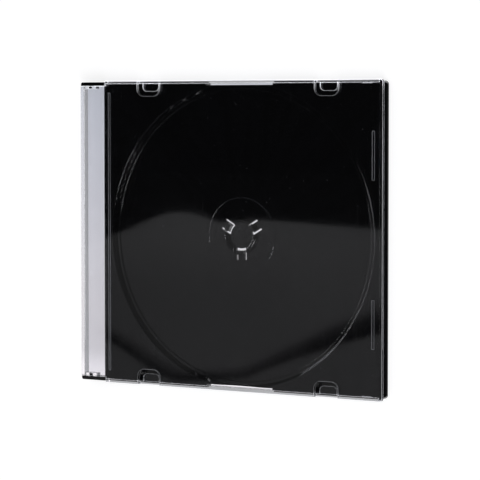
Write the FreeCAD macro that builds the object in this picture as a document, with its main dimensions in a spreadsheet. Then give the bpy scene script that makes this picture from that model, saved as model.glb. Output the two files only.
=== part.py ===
import FreeCAD, Part
import math
import os
import re
import Sketcher

# Slim jewel case, closed, lying on its back.
# X runs along the width from the hinge (negative) to the opening edge, Y up the cover, Z out of the front.
# The origin is the middle of the back. All sizes are in mm.

SIZES = [
    # outside of the closed case
    ("case_w", 142.0),
    ("case_h", 125.0),
    ("case_t", 5.2),
    # clear lid
    ("panel_t", 1.2),
    ("lid_wall_t", 1.1),
    ("spine_t", 1.2),
    ("flange_t", 1.2),
    ("flange_w", 10.5),
    ("end_wall_t", 1.2),
    ("end_wall_w", 7.1),
    ("wall_end_gap", 0.3),
    ("lid_corner_r", 1.0),
    ("spine_edge_r", 0.4),
    ("panel_root_r", 0.3),
    ("spine_root_r", 0.35),
    # hinge
    ("pin_inset", 3.95),
    ("pin_r", 1.0),
    ("pin_reach", 1.1),
    ("pin_chamfer", 0.2),
    ("pin_gap", 0.06),
    ("arm_t", 1.45),
    ("arm_w", 11.4),
    ("arm_inset", 0.3),
    ("arm_corner_r", 0.8),
    ("arm_gap", 0.1),
    ("swing_gap", 0.12),
    # booklet tabs and the windows above them
    ("tab_left_in", 33.6),
    ("tab_right_in", 25.0),
    ("tab_w", 7.9),
    ("tab_reach", 4.4),
    ("tab_t", 0.75),
    ("tab_drop", 2.1),
    ("tab_corner_r", 2.0),
    ("window_w", 10.6),
    ("window_reach", 6.3),
    ("window_corner_r", 3.0),
    # ribs under the panel
    ("rib_h", 0.4),
    ("long_rib_in", 13.9),
    ("long_rib_w", 0.8),
    ("long_rib_len", 115.0),
    ("short_rib_in", 4.5),
    ("short_rib_y", 32.9),
    ("short_rib_w", 1.0),
    ("short_rib_len", 19.0),
    # closing nibs
    ("nib_in", 7.6),
    ("nib_len", 4.4),
    ("nib_proud", 0.35),
    ("nib_low", 1.6),
    ("nib_h", 0.9),
    ("nib_gap", 0.15),
    # black base
    ("base_inset", 0.5),
    ("floor_t", 1.1),
    ("rim_gap", 0.2),
    ("tray_h", 3.4),
    ("end_wall_h", 3.9),
    ("front_wall_t", 1.7),
    ("front_corner_r", 1.6),
    # disc seat
    ("hub_in", 76.5),
    ("recess_top_r", 61.3),
    ("recess_r", 60.3),
    ("recess_step", 0.5),
    ("recess_edge_r", 0.35),
    ("ledge_r", 58.9),
    ("seat_h", 1.6),
    ("notch_w", 31.0),
    ("notch_edge", 1.95),
    # hub
    ("platform_r", 15.6),
    ("platform_edge_r", 0.35),
    ("hub_core_r", 14.4),
    ("hub_core_h", 0.5),
    ("ring_r", 7.35),
    ("ring_t", 1.75),
    ("ring_top", 3.2),
    ("ring_channel", 6.0),
    ("finger_w", 3.15),
    ("slot_w", 0.8),
    ("slot_end", 9.65),
    ("eye_r", 5.05),
    ("eye_gap", 0.9),
    ("tip_top", 3.3),
    ("bump_proud", 0.22),
    ("bump_z", 3.0),
    ("bump_h", 0.45),
    # hollows in the back
    ("core_skin", 1.2),
    ("core_wall", 1.2),
    ("core_start_y", 20.0),
]

doc = FreeCAD.newDocument("jewel_case")
sheet = doc.addObject("Spreadsheet::Sheet", "Sizes")
for row, (alias, value) in enumerate(SIZES, start=1):
    sheet.set("A%d" % row, alias)
    sheet.set("B%d" % row, str(value))
    sheet.setAlias("B%d" % row, alias)
doc.recompute()


ALIASES = {alias for alias, value in SIZES}


def sized(formula):
    """Turn a formula of size names into one that reads them from the sheet."""

    def name(match):
        word = match.group()
        return "Sizes." + word if word in ALIASES else word

    return re.sub(r"[A-Za-z_]\w*", name, formula)


def num(formula):
    """The present value of a formula of size names."""
    value = sheet.evalExpression(sized(formula))
    return float(getattr(value, "Value", value))


# Positions that follow from the sizes
HALF_W = "(case_w / 2)"
HALF_H = "(case_h / 2)"
PIN_X = "(pin_inset - case_w / 2)"
PIN_Z = "(case_t / 2)"
PANEL_Z = "(case_t - panel_t)"
FLANGE_END = "(flange_w - case_w / 2)"
ARM_START = "(arm_inset - case_w / 2)"
ARM_END = "(arm_inset + arm_w - case_w / 2)"
BASE_Y = "(case_h / 2 - base_inset)"
ARM_IN = "(case_h / 2 - base_inset - arm_t)"
STRIP_Y = "(case_h / 2 - base_inset - arm_t - arm_gap)"
# the back flange's far corner and the arm's far corner each sweep a circle about the pins
FLANGE_SWEEP = "sqrt((flange_w - pin_inset) ^ 2 + (case_t / 2) ^ 2)"
ARM_SWEEP = "sqrt((arm_inset + arm_w - pin_inset) ^ 2 + (case_t / 2) ^ 2)"
TRAY_START = "(" + PIN_X + " + " + FLANGE_SWEEP + " + swing_gap)"
WALL_START = "(" + PIN_X + " + " + ARM_SWEEP + " + swing_gap)"
WALL_IN = "(case_h / 2 - lid_wall_t)"
RIM_Y = "(case_h / 2 - lid_wall_t - rim_gap)"
FRONT_IN = "(case_w / 2 - front_wall_t)"
WALL_END = "(case_w / 2 - front_wall_t - wall_end_gap)"
WALL_LOW = "(floor_t + arm_gap)"
TAB_LOW = "(case_t - tab_drop - tab_t)"
TAB_POCKET_Z = "(case_t - tab_drop - tab_t - 3 * nib_gap)"
CORE_TOP = "(tray_h - core_skin)"
HUB_X = "(hub_in - case_w / 2)"
TAB_LEFT_X = "(tab_left_in - case_w / 2)"
TAB_RIGHT_X = "(case_w / 2 - tab_right_in)"
LONG_RIB_X = "(long_rib_in - case_w / 2)"
SHORT_RIB_X = "(case_w / 2 - short_rib_in)"
NIB_X = "(case_w / 2 - nib_in)"


def hold(sketch, kind, geo, end, formula):
    """Fix one coordinate of a sketch point at a size formula measured from the sketch's origin."""
    value = num(formula)
    if abs(value) < 1e-9:
        axis = -2 if kind == "DistanceX" else -1
        sketch.addConstraint(Sketcher.Constraint("PointOnObject", geo, end, axis))
        return
    if value > 0:
        index = sketch.addConstraint(Sketcher.Constraint(kind, -1, 1, geo, end, value))
        sketch.setExpression("Constraints[%d]" % index, sized(formula))
    else:
        index = sketch.addConstraint(Sketcher.Constraint(kind, geo, end, -1, 1, -value))
        sketch.setExpression("Constraints[%d]" % index, "-1 * (" + sized(formula) + ")")


def place(sketch, geo, end, x, y):
    """Fix a sketch point at a pair of size formulas."""
    hold(sketch, "DistanceX", geo, end, x)
    hold(sketch, "DistanceY", geo, end, y)


def hold_radius(sketch, geo, radius):
    """Fix the radius of a circle or an arc at a size formula."""
    index = sketch.addConstraint(Sketcher.Constraint("Radius", geo, num(radius)))
    sketch.setExpression("Constraints[%d]" % index, sized(radius))


def plane_of(body, role):
    """The body's own origin plane of this role."""
    return next(feature for feature in body.Origin.OriginFeatures if feature.Role == role)


def new_sketch(body, name, role="XY_Plane", x="0", y="0", z="0"):
    """A sketch on an origin plane of the body, moved by formulas in the plane's own axes."""
    sketch = body.newObject("Sketcher::SketchObject", name)
    sketch.AttachmentSupport = [(plane_of(body, role), "")]
    sketch.MapMode = "FlatFace"
    for axis, formula in (("x", x), ("y", y), ("z", z)):
        if formula != "0":
            sketch.setExpression("AttachmentOffset.Base." + axis, sized(formula))
    return sketch


def add_outline(sketch, points):
    """Close a polygon through points, each a pair of size formulas."""
    corners = [FreeCAD.Vector(num(x), num(y), 0) for x, y in points]
    first = sketch.GeometryCount
    count = len(points)
    for i in range(count):
        sketch.addGeometry(Part.LineSegment(corners[i], corners[(i + 1) % count]), False)
    for i in range(count):
        following = first + (i + 1) % count
        sketch.addConstraint(Sketcher.Constraint("Coincident", first + i, 2, following, 1))
    for i, (x, y) in enumerate(points):
        place(sketch, first + i, 1, x, y)


def add_box(sketch, x0, x1, y0, y1):
    """A rectangle between four size formulas."""
    add_outline(sketch, [(x0, y0), (x1, y0), (x1, y1), (x0, y1)])


def add_circle(sketch, radius, x="0", y="0"):
    """A circle about a point given by size formulas."""
    centre = FreeCAD.Vector(num(x), num(y), 0)
    circle = Part.Circle(centre, FreeCAD.Vector(0, 0, 1), num(radius))
    geo = sketch.addGeometry(circle, False)
    place(sketch, geo, 3, x, y)
    hold_radius(sketch, geo, radius)


def add_half_moon(sketch, centre, width, root_y, tip_y, radius):
    """A rectangle from root_y in to tip_y with its two inner corners rounded."""
    x0 = num(centre + " - " + width + " / 2")
    x1 = num(centre + " + " + width + " / 2")
    root = num(root_y)
    tip = num(tip_y)
    r = num(radius)
    up = FreeCAD.Vector(0, 0, 1)
    first = sketch.GeometryCount
    left_corner = Part.Circle(FreeCAD.Vector(x0 + r, tip + r, 0), up, r)
    right_corner = Part.Circle(FreeCAD.Vector(x1 - r, tip + r, 0), up, r)
    sketch.addGeometry(
        [
            Part.LineSegment(FreeCAD.Vector(x0, root, 0), FreeCAD.Vector(x0, tip + r, 0)),
            Part.ArcOfCircle(left_corner, math.pi, 1.5 * math.pi),
            Part.LineSegment(FreeCAD.Vector(x0 + r, tip, 0), FreeCAD.Vector(x1 - r, tip, 0)),
            Part.ArcOfCircle(right_corner, 1.5 * math.pi, 2 * math.pi),
            Part.LineSegment(FreeCAD.Vector(x1, tip + r, 0), FreeCAD.Vector(x1, root, 0)),
            Part.LineSegment(FreeCAD.Vector(x1, root, 0), FreeCAD.Vector(x0, root, 0)),
        ],
        False,
    )
    side, corner, edge, corner_2, side_2, back = range(first, first + 6)
    for a, b in ((side, corner), (corner, edge), (edge, corner_2), (corner_2, side_2)):
        sketch.addConstraint(Sketcher.Constraint("Tangent", a, 2, b, 1))
    sketch.addConstraint(Sketcher.Constraint("Coincident", side_2, 2, back, 1))
    sketch.addConstraint(Sketcher.Constraint("Coincident", back, 2, side, 1))
    sketch.addConstraint(Sketcher.Constraint("Vertical", side))
    sketch.addConstraint(Sketcher.Constraint("Vertical", side_2))
    sketch.addConstraint(Sketcher.Constraint("Horizontal", back))
    sketch.addConstraint(Sketcher.Constraint("Equal", corner, corner_2))
    hold_radius(sketch, corner, radius)
    place(sketch, side, 1, centre + " - " + width + " / 2", root_y)
    hold(sketch, "DistanceX", side_2, 2, centre + " + " + width + " / 2")
    hold(sketch, "DistanceY", edge, 1, tip_y)


def settle(body, feature, grows):
    """Make a feature the body's tip and see that it added or took away material."""
    previous = feature.BaseFeature or body.Tip
    before = previous.Shape.Volume if previous is not None and previous is not feature else 0.0
    body.Tip = feature
    doc.recompute()
    after = feature.Shape.Volume
    if (after - before) * grows <= 0:
        raise ValueError("%s changed the volume from %.2f to %.2f" % (feature.Name, before, after))
    return feature


def pad(body, name, sketch, length):
    """Raise a sketch along its normal."""
    feature = body.newObject("PartDesign::Pad", name)
    feature.Profile = sketch
    feature.setExpression("Length", sized(length))
    return settle(body, feature, 1)


def pocket(body, name, sketch, length):
    """Sink a sketch against its normal."""
    feature = body.newObject("PartDesign::Pocket", name)
    feature.Profile = sketch
    feature.setExpression("Length", sized(length))
    return settle(body, feature, -1)


def mirror(body, name, originals, grows):
    """Repeat features on the other side of the case's long middle plane."""
    feature = body.newObject("PartDesign::Mirrored", name)
    feature.Originals = originals
    feature.MirrorPlane = (plane_of(body, "XZ_Plane"), [""])
    return settle(body, feature, grows)


def around(body, name, originals, sketch, grows):
    """Repeat features three times about the hub's axis, the normal of a sketch."""
    feature = body.newObject("PartDesign::PolarPattern", name)
    feature.Originals = originals
    feature.Axis = (sketch, ["N_Axis"])
    feature.Angle = 360
    feature.Occurrences = 3
    return settle(body, feature, grows)


def edges_where(feature, test):
    """Names of the edges whose two ends and middle all pass a test."""
    names = []
    for i, edge in enumerate(feature.Shape.Edges, start=1):
        middle = edge.valueAt((edge.FirstParameter + edge.LastParameter) / 2)
        if all(test(point) for point in [v.Point for v in edge.Vertexes] + [middle]):
            names.append("Edge%d" % i)
    if not names:
        raise ValueError("no edge found on " + feature.Name)
    return names


def fillet(body, name, base, test, radius):
    """Round the edges of a feature that pass a test."""
    feature = body.newObject("PartDesign::Fillet", name)
    feature.Base = (base, edges_where(base, test))
    feature.setExpression("Radius", sized(radius))
    body.Tip = feature
    doc.recompute()
    if "Invalid" in feature.State:
        raise ValueError("%s couldn't be rounded" % feature.Name)
    return feature


def near(value, formula):
    """Whether a coordinate sits at a size formula."""
    return abs(value - num(formula)) < 1e-4


def on_circle(point, radius, height):
    """Whether a point lies on a circle about the hub's axis."""
    reach = math.hypot(point.x - num(HUB_X), point.y)
    return near(point.z, height) and near(reach, radius)


def new_body(name):
    """An empty body at the case's origin."""
    body = doc.addObject("PartDesign::Body", name)
    body.Label = name
    body.Placement = FreeCAD.Placement()
    doc.recompute()
    return body


# Black base: floor, raised tray, front wall, arms with pins, disc seat and hub
base = new_body("base")

sketch = new_sketch(base, "floor_outline")
add_box(sketch, TRAY_START, HALF_W, "-1 * " + BASE_Y, BASE_Y)
floor = pad(base, "floor", sketch, "floor_t")

sketch = new_sketch(base, "front_wall_outline")
add_box(sketch, FRONT_IN, HALF_W, "-1 * " + BASE_Y, BASE_Y)
front_wall = pad(base, "front_wall", sketch, "end_wall_h")
front_corners = fillet(
    base,
    "front_corners",
    front_wall,
    lambda p: near(p.x, HALF_W) and near(abs(p.y), BASE_Y),
    "front_corner_r",
)

sketch = new_sketch(base, "tray_outline")
add_box(sketch, TRAY_START, "(case_w / 2 - front_wall_t / 2)", "-1 * " + RIM_Y, RIM_Y)
tray = pad(base, "tray", sketch, "tray_h")

# disc seat: floor, ledge under the disc's rim, and the sloped wall of the recess
sketch = new_sketch(base, "recess_profile", "XZ_Plane", x=HUB_X)
add_outline(
    sketch,
    [
        ("0", "floor_t"),
        ("ledge_r", "floor_t"),
        ("ledge_r", "seat_h"),
        ("recess_r", "seat_h"),
        ("recess_r", "(seat_h + recess_step)"),
        ("recess_top_r", "tray_h"),
        ("recess_top_r", "case_t"),
        ("0", "case_t"),
    ],
)
recess = base.newObject("PartDesign::Groove", "recess")
recess.Profile = sketch
recess.ReferenceAxis = (sketch, ["V_Axis"])
recess.Angle = 360
settle(base, recess, -1)
recess_edges = fillet(
    base,
    "recess_edges",
    recess,
    lambda p: on_circle(p, "recess_top_r", "tray_h")
    or on_circle(p, "recess_r", "(seat_h + recess_step)"),
    "recess_edge_r",
)
ledge_edge = fillet(
    base,
    "ledge_edge",
    recess_edges,
    lambda p: on_circle(p, "ledge_r", "seat_h"),
    "(seat_h - floor_t) / 2",
)

sketch = new_sketch(base, "notch_outline", x=HUB_X)
add_box(sketch, "-1 * notch_w / 2", "notch_w / 2", "(case_h / 2 - notch_edge)", "case_h / 2 + 1")
sketch.setExpression("AttachmentOffset.Base.z", sized("case_t"))
notch = pocket(base, "notch", sketch, "case_t")
notches = mirror(base, "notches", [notch], -1)

# pockets that the lid's tabs drop into
tab_pockets = []
for side, centre in (("left", TAB_LEFT_X), ("right", TAB_RIGHT_X)):
    sketch = new_sketch(base, "tab_pocket_outline_" + side, z="case_t")
    add_half_moon(
        sketch,
        centre,
        "window_w",
        HALF_H,
        "(case_h / 2 - window_reach)",
        "window_corner_r",
    )
    tab_pockets.append(
        pocket(base, "tab_pocket_" + side, sketch, "(case_t - " + TAB_POCKET_Z + ")")
    )
mirror(base, "tab_pockets_mirrored", tab_pockets, -1)

# grooves that the closing nibs slide down
sketch = new_sketch(base, "nib_groove_outline", z="case_t")
add_box(
    sketch,
    "(" + NIB_X + " - nib_len / 2 - nib_gap)",
    "(" + NIB_X + " + nib_len / 2 + nib_gap)",
    "(" + WALL_IN + " - nib_proud - nib_gap)",
    WALL_IN,
)
nib_groove = pocket(base, "nib_groove", sketch, "(case_t - floor_t)")
mirror(base, "nib_grooves", [nib_groove], -1)

# hinge arms, their outer corners rounded in plan
sketch = new_sketch(base, "arm_outline")
add_box(sketch, ARM_START, ARM_END, ARM_IN, BASE_Y)
arm = pad(base, "arm", sketch, "case_t")
arms = mirror(base, "arms", [arm], 1)
arm_corners = fillet(
    base,
    "arm_corners",
    arms,
    lambda p: near(p.x, ARM_START) and near(abs(p.y), BASE_Y),
    "arm_corner_r",
)

# pins that point inward from the arms
sketch = new_sketch(base, "pin_outline", "XZ_Plane", z="-1 * " + ARM_IN)
add_circle(sketch, "pin_r", PIN_X, PIN_Z)
pin = base.newObject("PartDesign::Pad", "pin")
pin.Profile = sketch
pin.setExpression("Length", sized("pin_reach"))
settle(base, pin, 1)
pins = mirror(base, "pins", [pin], 1)
PIN_END = "(case_h / 2 - base_inset - arm_t - pin_reach)"
pin_leads = base.newObject("PartDesign::Chamfer", "pin_leads")
pin_leads.Base = (pins, edges_where(pins, lambda p: near(abs(p.y), PIN_END)))
pin_leads.setExpression("Size", sized("pin_chamfer"))
settle(base, pin_leads, -1)

# hub platform with a shallow hollow behind it
sketch = new_sketch(base, "platform_outline", x=HUB_X)
add_circle(sketch, "platform_r")
platform = pad(base, "platform", sketch, "seat_h")
platform_edge = fillet(
    base,
    "platform_edge",
    platform,
    lambda p: on_circle(p, "platform_r", "seat_h"),
    "platform_edge_r",
)

sketch = new_sketch(base, "hub_core_outline", x=HUB_X, z="hub_core_h")
add_circle(sketch, "hub_core_r")
hub_core = pocket(base, "hub_core", sketch, "hub_core_h")

# ring boss in three parts, with a channel left free for each finger
sketch = new_sketch(base, "ring_outline", x=HUB_X, z="(seat_h - hub_core_h)")
add_circle(sketch, "ring_r")
add_circle(sketch, "(ring_r - ring_t)")
ring = pad(base, "ring", sketch, "(ring_top - seat_h + hub_core_h)")
ring_edges = fillet(
    base,
    "ring_edges",
    ring,
    lambda p: near(p.z, "ring_top"),
    "ring_t * 3 / 7",
)
sketch = new_sketch(base, "ring_channel_outline", x=HUB_X, z="case_t")
add_box(sketch, "-1 * ring_channel / 2", "ring_channel / 2", "-1 * slot_end", "-1 * eye_r / 2")
ring_channel = pocket(base, "ring_channel", sketch, "(case_t - seat_h)")
ring_channels = around(base, "ring_channels", [ring_channel], sketch, -1)

# spring fingers: a slot on each side and the gap before the middle disc
sketch = new_sketch(base, "side_slot_outline", x=HUB_X, z="case_t")
for near_x, far_x in (
    ("finger_w / 2", "(finger_w / 2 + slot_w)"),
    ("-1 * (finger_w / 2 + slot_w)", "-1 * finger_w / 2"),
):
    add_box(sketch, near_x, far_x, "-1 * slot_end", "-1 * eye_r")
side_slots = pocket(base, "side_slots", sketch, "case_t")

sketch_gap = new_sketch(base, "tip_gap_profile", "YZ_Plane", z=HUB_X)
add_box(sketch_gap, "-1 * (eye_r + eye_gap)", "-1 * eye_r", "-1 * floor_t", "case_t")
tip_gap = base.newObject("PartDesign::Groove", "tip_gap")
tip_gap.Profile = sketch_gap
tip_gap.ReferenceAxis = (sketch_gap, ["V_Axis"])
tip_gap.Midplane = True
tip_gap.setExpression(
    "Angle", "2 * asin(" + sized("(finger_w / 2 + slot_w) / (eye_r + eye_gap)") + ")"
)
settle(base, tip_gap, -1)
finger_slots = around(base, "finger_slots", [side_slots, tip_gap], sketch, -1)

# finger tips: posts with a small snap bump above the disc
sketch_tip = new_sketch(base, "finger_tip_profile", "YZ_Plane", z=HUB_X)
add_outline(
    sketch_tip,
    [
        ("-1 * (eye_r + eye_gap)", "(seat_h - hub_core_h)"),
        ("-1 * ring_r", "(seat_h - hub_core_h)"),
        ("-1 * ring_r", "(bump_z - bump_h / 2)"),
        ("-1 * (ring_r + bump_proud)", "bump_z"),
        ("-1 * (ring_r - bump_proud)", "tip_top"),
        ("-1 * (eye_r + eye_gap)", "tip_top"),
    ],
)
finger_tip = base.newObject("PartDesign::Revolution", "finger_tip")
finger_tip.Profile = sketch_tip
finger_tip.ReferenceAxis = (sketch_tip, ["V_Axis"])
finger_tip.Midplane = True
finger_tip.setExpression("Angle", "2 * asin(" + sized("finger_w / 2 / ring_r") + ")")
settle(base, finger_tip, 1)
finger_tips = around(base, "finger_tips", [finger_tip], sketch, 1)

# hollows behind the raised corners: boxes inside the rim, less all that carries the disc seat
hollows = new_body("hollows")
CORE_OUTER_Y = "(case_h / 2 - window_reach - core_wall)"
sketch = new_sketch(hollows, "hollow_outline")
for x0, x1 in (
    ("(" + TRAY_START + " + core_wall)", "(" + HUB_X + " - ring_r)"),
    ("(" + HUB_X + " + ring_r)", FRONT_IN),
):
    add_box(sketch, x0, x1, "core_start_y", CORE_OUTER_Y)
hollow = pad(hollows, "hollow", sketch, CORE_TOP)
mirror(hollows, "hollows_mirrored", [hollow], 1)
sketch = new_sketch(hollows, "seat_outline", x=HUB_X, z=CORE_TOP)
add_circle(sketch, "(recess_top_r + core_wall)")
pocket(hollows, "seat", sketch, CORE_TOP)

cores = base.newObject("PartDesign::Boolean", "cores")
cores.Type = "Cut"
cores.addObject(hollows)
settle(base, cores, -1)

# Clear lid: panel, spine, back flange, end walls, side walls, tabs, ribs and nibs
lid = new_body("lid")

sketch = new_sketch(lid, "panel_outline", z=PANEL_Z)
add_outline(
    sketch,
    [
        ("-1 * " + HALF_W, "-1 * " + STRIP_Y),
        (WALL_START, "-1 * " + STRIP_Y),
        (WALL_START, "-1 * " + HALF_H),
        (HALF_W, "-1 * " + HALF_H),
        (HALF_W, HALF_H),
        (WALL_START, HALF_H),
        (WALL_START, STRIP_Y),
        ("-1 * " + HALF_W, STRIP_Y),
    ],
)
panel = pad(lid, "panel", sketch, "panel_t")
panel_corners = fillet(
    lid,
    "panel_corners",
    panel,
    lambda p: near(p.x, HALF_W) and near(abs(p.y), HALF_H),
    "lid_corner_r",
)

sketch = new_sketch(lid, "spine_outline")
add_box(sketch, "-1 * " + HALF_W, "(spine_t - case_w / 2)", "-1 * " + STRIP_Y, STRIP_Y)
spine = pad(lid, "spine", sketch, "case_t")

sketch = new_sketch(lid, "flange_outline")
add_box(sketch, "-1 * " + HALF_W, FLANGE_END, "-1 * " + STRIP_Y, STRIP_Y)
flange = pad(lid, "flange", sketch, "flange_t")

spine_edges = fillet(
    lid,
    "spine_edges",
    flange,
    lambda p: near(-p.x, HALF_W) and (near(p.z, "0") or near(p.z, "case_t")),
    "spine_edge_r",
)

spine_roots = fillet(
    lid,
    "spine_roots",
    spine_edges,
    lambda p: near(p.x, "(spine_t - case_w / 2)")
    and (near(p.z, "flange_t") or near(p.z, PANEL_Z)),
    "spine_root_r",
)

sketch = new_sketch(lid, "end_wall_outline")
add_box(
    sketch,
    "(spine_t / 2 - case_w / 2)",
    "(end_wall_w - case_w / 2)",
    "(" + STRIP_Y + " - end_wall_t)",
    STRIP_Y,
)
sketch.setExpression("AttachmentOffset.Base.z", sized("flange_t / 2"))
end_wall = pad(lid, "end_wall", sketch, "(case_t - flange_t / 2 - panel_t / 2)")
end_walls = mirror(lid, "end_walls", [end_wall], 1)

sketch = new_sketch(lid, "pin_hole_outline", "XZ_Plane")
add_circle(sketch, "(pin_r + pin_gap)", PIN_X, PIN_Z)
pin_holes = lid.newObject("PartDesign::Pocket", "pin_holes")
pin_holes.Profile = sketch
pin_holes.Midplane = True
pin_holes.setExpression("Length", sized("case_h"))
settle(lid, pin_holes, -1)

sketch = new_sketch(lid, "side_wall_outline", z=WALL_LOW)
add_box(sketch, WALL_START, WALL_END, WALL_IN, HALF_H)
side_wall = pad(lid, "side_wall", sketch, "(case_t - " + WALL_LOW + " - panel_t / 2)")
side_walls = mirror(lid, "side_walls", [side_wall], 1)
wall_roots = fillet(
    lid,
    "wall_roots",
    side_walls,
    lambda p: near(p.z, PANEL_Z) and near(abs(p.y), WALL_IN),
    "panel_root_r",
)

tabs = []
windows = []
for side, centre in (("left", TAB_LEFT_X), ("right", TAB_RIGHT_X)):
    sketch = new_sketch(lid, "window_outline_" + side, z="case_t")
    add_half_moon(
        sketch,
        centre,
        "window_w",
        "(case_h / 2 + 1)",
        "(case_h / 2 - window_reach)",
        "window_corner_r",
    )
    windows.append(pocket(lid, "window_" + side, sketch, "tab_drop"))
mirror(lid, "windows_mirrored", windows, -1)
for side, centre in (("left", TAB_LEFT_X), ("right", TAB_RIGHT_X)):
    sketch = new_sketch(lid, "tab_outline_" + side, z=TAB_LOW)
    add_half_moon(
        sketch,
        centre,
        "tab_w",
        "(case_h / 2 - lid_wall_t / 2)",
        "(case_h / 2 - tab_reach)",
        "tab_corner_r",
    )
    tabs.append(pad(lid, "tab_" + side, sketch, "tab_t"))
mirror(lid, "tabs_mirrored", tabs, 1)

sketch = new_sketch(lid, "long_rib_outline", z="(" + PANEL_Z + " - rib_h)")
add_box(
    sketch,
    "(" + LONG_RIB_X + " - long_rib_w / 2)",
    "(" + LONG_RIB_X + " + long_rib_w / 2)",
    "-1 * long_rib_len / 2",
    "long_rib_len / 2",
)
long_rib = pad(lid, "long_rib", sketch, "(rib_h + panel_t / 2)")

sketch = new_sketch(lid, "short_rib_outline", z="(" + PANEL_Z + " - rib_h)")
add_box(
    sketch,
    "(" + SHORT_RIB_X + " - short_rib_w / 2)",
    "(" + SHORT_RIB_X + " + short_rib_w / 2)",
    "(short_rib_y - short_rib_len / 2)",
    "(short_rib_y + short_rib_len / 2)",
)
short_rib = pad(lid, "short_rib", sketch, "(rib_h + panel_t / 2)")
short_ribs = mirror(lid, "short_ribs", [short_rib], 1)

sketch = new_sketch(lid, "nib_outline", z="nib_low")
add_box(
    sketch,
    "(" + NIB_X + " - nib_len / 2)",
    "(" + NIB_X + " + nib_len / 2)",
    "(" + WALL_IN + " - nib_proud)",
    "(case_h / 2 - lid_wall_t / 2)",
)
nib = pad(lid, "nib", sketch, "nib_h")
nibs = mirror(lid, "nibs", [nib], 1)

doc.recompute()
for item in doc.Objects:
    if any(word in item.State for word in ("Invalid", "Error")):
        raise ValueError("%s is in state %s" % (item.Name, item.State))
for body in (base, lid):
    if body.Shape.isNull() or not body.Shape.isValid() or len(body.Shape.Solids) != 1:
        raise ValueError("%s isn't one valid solid" % body.Label)

os.makedirs("parts", exist_ok=True)
for body in (base, lid):
    body.Shape.exportStep("parts/%s.step" % body.Label)
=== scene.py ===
"""Slim disc case, closed: the finishes of its two mouldings, the studio and the camera."""

import math

import bpy
from bpy.props import FloatProperty, FloatVectorProperty, PointerProperty
from bpy.types import Operator, Panel, PropertyGroup
from mathutils import Matrix, Vector


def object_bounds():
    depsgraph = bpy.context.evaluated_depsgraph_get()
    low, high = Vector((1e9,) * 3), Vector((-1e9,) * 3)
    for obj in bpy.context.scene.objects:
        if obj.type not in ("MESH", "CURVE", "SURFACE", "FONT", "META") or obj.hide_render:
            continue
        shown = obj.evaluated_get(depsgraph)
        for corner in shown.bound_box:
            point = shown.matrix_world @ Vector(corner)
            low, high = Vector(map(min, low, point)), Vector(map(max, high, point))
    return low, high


bl_info = {
    "name": "Slim disc case",
    "version": (1, 0, 0),
    "blender": (4, 5, 0),
    "location": "3D View > Sidebar > Case",
    "description": "Finishes, studio and camera for a slim disc case with a black tray and a clear lid",
    "category": "Object",
}

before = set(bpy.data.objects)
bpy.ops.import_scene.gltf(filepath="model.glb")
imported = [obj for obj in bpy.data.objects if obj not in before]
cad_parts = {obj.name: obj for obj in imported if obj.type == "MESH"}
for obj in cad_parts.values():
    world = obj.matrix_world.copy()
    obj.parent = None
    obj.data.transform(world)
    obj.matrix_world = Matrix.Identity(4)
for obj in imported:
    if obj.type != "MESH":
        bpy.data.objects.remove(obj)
CAD_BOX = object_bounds()
CASE_TOP = CAD_BOX[1].z
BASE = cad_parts["base"]
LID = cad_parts["lid"]

# Hub centre in the plane of the case, where the black moulding was filled, and the platform round it.
HUB = (0.0055, 0.0, 0.0)
PLATFORM_RADIUS = 0.0155

# Upper edge of the grey board as the closed lid mirrors it, in metres on the lid.
BOARD_EDGE = [
    (-0.110, -0.0215),
    (-0.075, -0.0080),
    (-0.0594, -0.0030),
    (-0.0461, 0.0019),
    (-0.0384, 0.0051),
    (-0.0307, 0.0078),
    (-0.0246, 0.0089),
    (-0.0201, 0.0093),
    (-0.0156, 0.0090),
    (-0.0096, 0.0076),
    (-0.0037, 0.0060),
    (0.0081, 0.0072),
    (0.0312, 0.0068),
    (0.0565, 0.0055),
    (0.110, 0.0025),
]

# A fold dims the board from its upper line down to its lower one, in the same terms.
FOLD_UPPER = [
    (-0.110, -0.0150),
    (-0.0570, -0.0382),
    (-0.0443, -0.0440),
    (-0.0353, -0.0481),
    (-0.0264, -0.0521),
    (-0.0194, -0.0543),
    (-0.0045, -0.0539),
    (0.0032, -0.0534),
    (0.0100, -0.0512),
    (0.0168, -0.0479),
    (0.0336, -0.0401),
    (0.0500, -0.0317),
    (0.0661, -0.0250),
    (0.110, -0.0100),
]
FOLD_LOWER = [
    (-0.110, -0.0250),
    (-0.0570, -0.0439),
    (-0.0516, -0.0463),
    (-0.0443, -0.0505),
    (-0.0371, -0.0540),
    (-0.0309, -0.0569),
    (-0.0238, -0.0587),
    (-0.0089, -0.0578),
    (0.0083, -0.0558),
    (0.0143, -0.0531),
    (0.0294, -0.0473),
    (0.0459, -0.0420),
    (0.0541, -0.0391),
    (0.0685, -0.0348),
    (0.110, -0.0290),
]
# How dark the fold is over most of its width, and along its lower line.
FOLD_BROAD = [
    (-0.060, 0.55),
    (-0.010, 0.50),
    (0.020, 0.52),
    (0.045, 0.84),
    (0.070, 0.86),
]
FOLD_CORE = [
    (-0.060, 0.95),
    (-0.025, 0.86),
    (0.010, 0.72),
    (0.030, 0.82),
    (0.045, 1.00),
    (0.070, 1.00),
]

# Where the board is lighter or darker: centre and width of each patch on the lid, and by how much.
BOARD_PATCHES = [
    ((-0.005, 0.003), (0.060, 0.012), 0.25),
    ((0.052, -0.016), (0.020, 0.016), 0.10),
    ((-0.058, -0.045), (0.018, 0.030), -0.09),
]
BOARD_EVEN = 0.74

# The part of the lid that the board covers, its grid, how wide it fades at its sides and foot,
# and how its upper edge softens.
BOARD_X = (-0.110, 0.110)
BOARD_Y = (-0.100, 0.025)
BOARD_COLUMNS = 121
BOARD_ROWS = 211
BOARD_FADE = 0.015
BOARD_SOFT = (-0.0005, 0.0011)

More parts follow.
